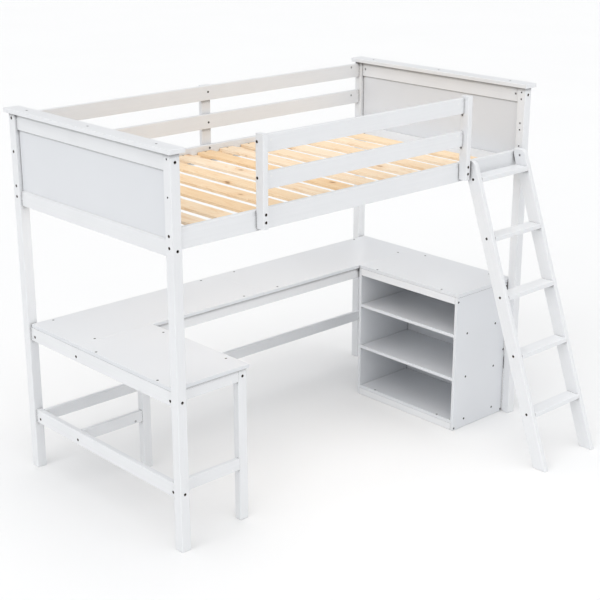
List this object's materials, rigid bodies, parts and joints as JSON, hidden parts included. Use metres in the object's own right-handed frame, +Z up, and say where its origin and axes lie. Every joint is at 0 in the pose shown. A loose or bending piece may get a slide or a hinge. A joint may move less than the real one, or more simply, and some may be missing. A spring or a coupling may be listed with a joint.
{
  "type": "loft bed with desk",
  "caption": "Painted wooden loft bed with slatted base, guard rails, raked ladder, corner desk, back shelf and open cabinet beneath.",
  "frame": {"origin": "middle of the whole object's footprint, on the floor", "axes": "+X along the bed from the desk end to the cabinet end, +Y from the ladder side to the back, +Z up"},
  "size_m": [2.02, 1.575, 1.56],
  "materials": {
    "white_paint": "semi-gloss white paint over pine",
    "pine": "bare planed pine",
    "beech": "bare beech dowel",
    "bolt_steel": "black oxide bolts",
    "nut_steel": "zinc plated cross nuts",
    "screw_steel": "black phosphate screws"
  },
  "bodies": {
    "root": {"bolts": "bolt_steel", "cabinet_back": "white_paint", "cabinet_floor": "white_paint", "cabinet_rail_base": "white_paint", "cabinet_rail_top": "white_paint", "cabinet_shelf_lower": "white_paint", "cabinet_shelf_upper": "white_paint", "cabinet_side_far": "white_paint", "cabinet_side_near": "white_paint", "cabinet_top": "white_paint", "cap_left": "white_paint", "cap_right": "white_paint", "cleat_back": "pine", "cleat_front": "pine", "cross_rail_lower_left": "white_paint", "cross_rail_lower_right": "white_paint", "cross_rail_upper_left": "white_paint", "cross_rail_upper_right": "white_paint", "desk_leg_front": "white_paint", "desk_leg_middle": "white_paint", "desk_rail_front": "white_paint", "desk_rail_inner": "white_paint", "desk_top": "white_paint", "dowels": "beech", "end_panel_left": "white_paint", "end_panel_right": "white_paint", "guard_post_left": "white_paint", "guard_post_right": "white_paint", "guard_rail_back_lower": "white_paint", "guard_rail_back_upper": "white_paint", "guard_rail_front_lower": "white_paint", "guard_rail_front_upper": "white_paint", "guard_support": "white_paint", "ladder_rail_left": "white_paint", "ladder_rail_right": "white_paint", "ladder_step_1": "white_paint", "ladder_step_2": "white_paint", "ladder_step_3": "white_paint", "ladder_step_4": "white_paint", "ladder_step_5": "white_paint", "lower_rail_left": "white_paint", "lower_rail_right": "white_paint", "nuts": "nut_steel", "post_back_left": "white_paint", "post_back_right": "white_paint", "post_front_left": "white_paint", "post_front_right": "white_paint", "screws": "screw_steel", "shelf_board_left": "white_paint", "shelf_board_right": "white_paint", "shelf_rail_front": "white_paint", "shelf_rail_rear": "white_paint", "side_rail_back": "white_paint", "side_rail_front": "white_paint", "slats": "pine", "stretcher_back": "white_paint", "stretcher_front": "white_paint", "stretcher_middle": "white_paint", "top_rail_left": "white_paint", "top_rail_right": "white_paint"}
  },
  "joints": []
}
